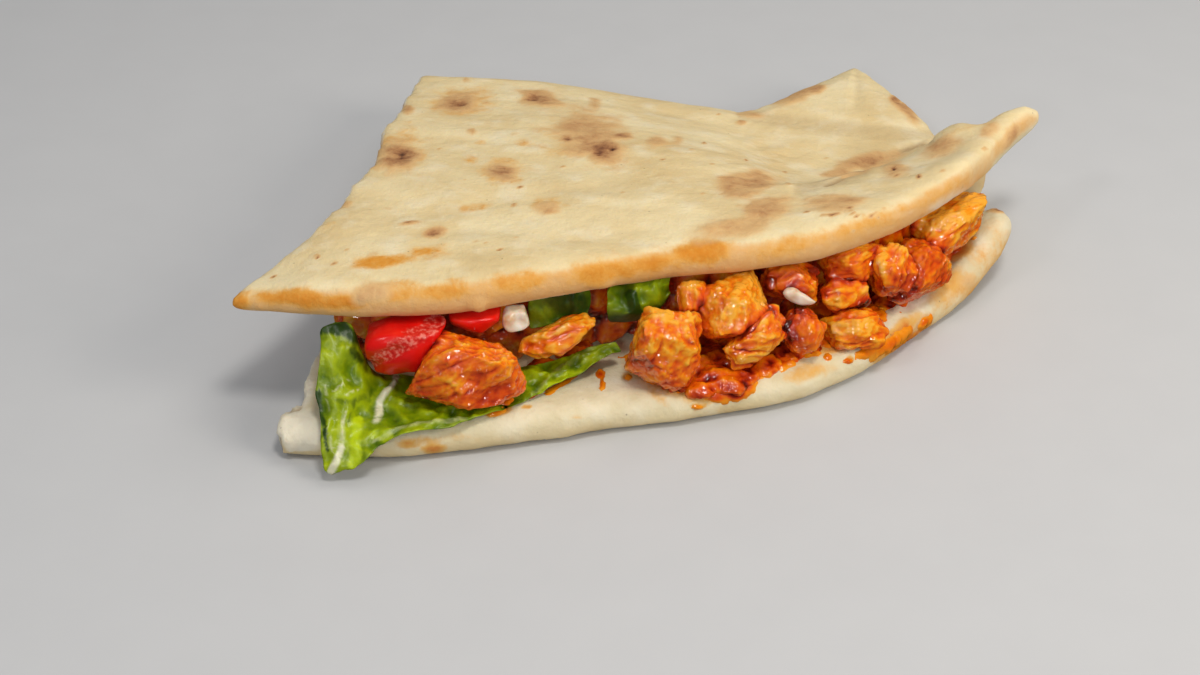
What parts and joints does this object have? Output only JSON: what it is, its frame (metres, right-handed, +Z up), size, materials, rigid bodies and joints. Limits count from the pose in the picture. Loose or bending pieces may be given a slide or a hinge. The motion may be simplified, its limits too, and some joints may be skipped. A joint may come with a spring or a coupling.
{
  "type": "half of a folded flatbread panini",
  "caption": "Half of a folded flatbread panini, cut across, with chicken in red sauce, lettuce, tomato and onion showing in its open curved side.",
  "frame": {"origin": "middle of the footprint, on the flat underside of the bottom leaf", "axes": "+X along the opening from the cut left side to the closed right side, +Y from the open side back to the fold, +Z up through the leaves"},
  "size_m": [0.208, 0.1884, 0.0405],
  "materials": {
    "bread": "soft baked flatbread, pale cream with brown char spots and a golden rim",
    "chicken": "torn chicken pieces wet with red orange sauce",
    "sauced_filling": "packed chicken in thick dark red orange sauce",
    "lettuce": "crisp leaf, waxy and veined",
    "onion": "pale translucent onion, wet",
    "tomato": "ripe tomato wedge, shiny skin and wet grained flesh"
  },
  "bodies": {
    "root": {"bread": "bread", "chicken_01": "chicken", "chicken_02": "chicken", "chicken_03": "chicken", "chicken_04": "chicken", "chicken_05": "chicken", "chicken_06": "chicken", "chicken_07": "chicken", "chicken_08": "chicken", "chicken_09": "chicken", "chicken_10": "chicken", "chicken_11": "chicken", "chicken_12": "chicken", "chicken_13": "chicken", "chicken_14": "chicken", "chicken_filling": "sauced_filling", "lettuce_1": "lettuce", "lettuce_2": "lettuce", "lettuce_3": "lettuce", "onion_01": "onion", "onion_02": "onion", "tomato_01": "tomato", "tomato_02": "tomato"}
  },
  "joints": []
}
